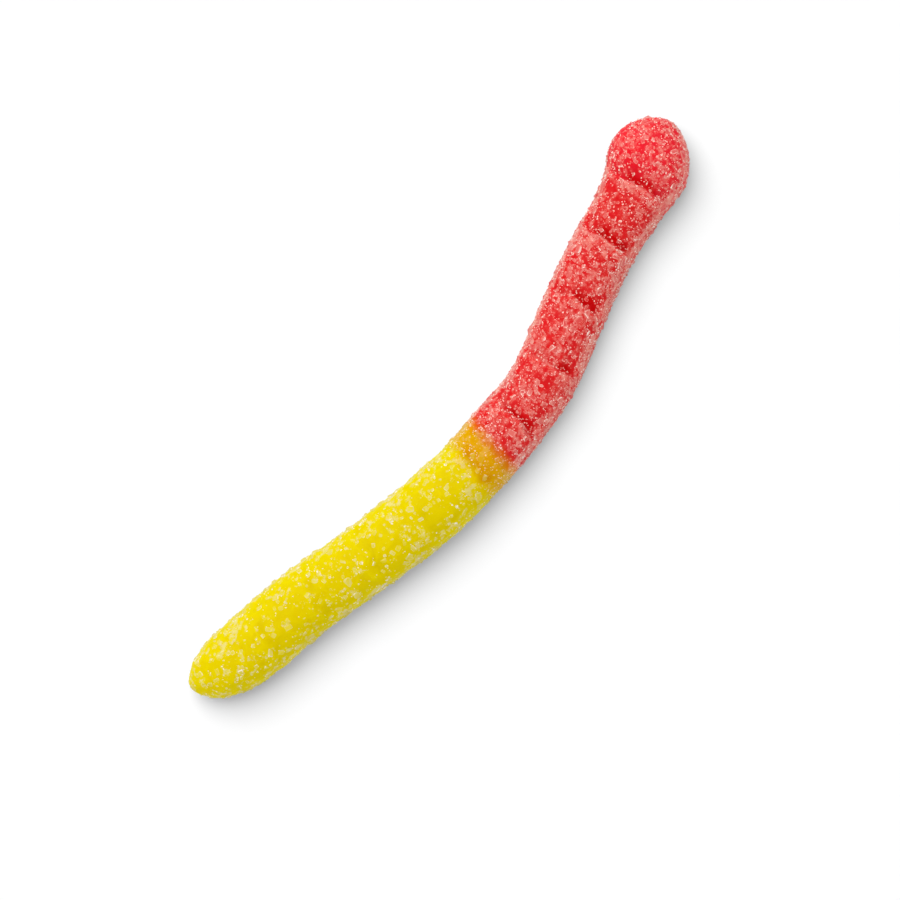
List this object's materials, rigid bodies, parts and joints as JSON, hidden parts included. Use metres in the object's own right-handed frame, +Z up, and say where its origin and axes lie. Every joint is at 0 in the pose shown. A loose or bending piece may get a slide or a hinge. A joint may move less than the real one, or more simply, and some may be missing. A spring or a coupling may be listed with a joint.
{
  "type": "gummy worm",
  "caption": "Sugar-coated gummy worm, red at the head and yellow at the tail, with moulded rings over its back and a flat underside to lie on.",
  "frame": {"origin": "middle of the jelly's box, on the surface that it lies on", "axes": "+X from the tail to the head along the straight line between them, +Z up from the flat underside, +Y towards the inside of the main bend"},
  "size_m": [0.0895, 0.0175, 0.0083],
  "materials": {
    "sugared_jelly": "translucent gelatin jelly, red at the head, amber at the join and yellow at the tail, dulled by a coat of sugar",
    "sugar": "half-clear sugar crystals that take the colour of the jelly below"
  },
  "bodies": {
    "root": {"gummy_worm": "sugared_jelly"}
  },
  "joints": []
}
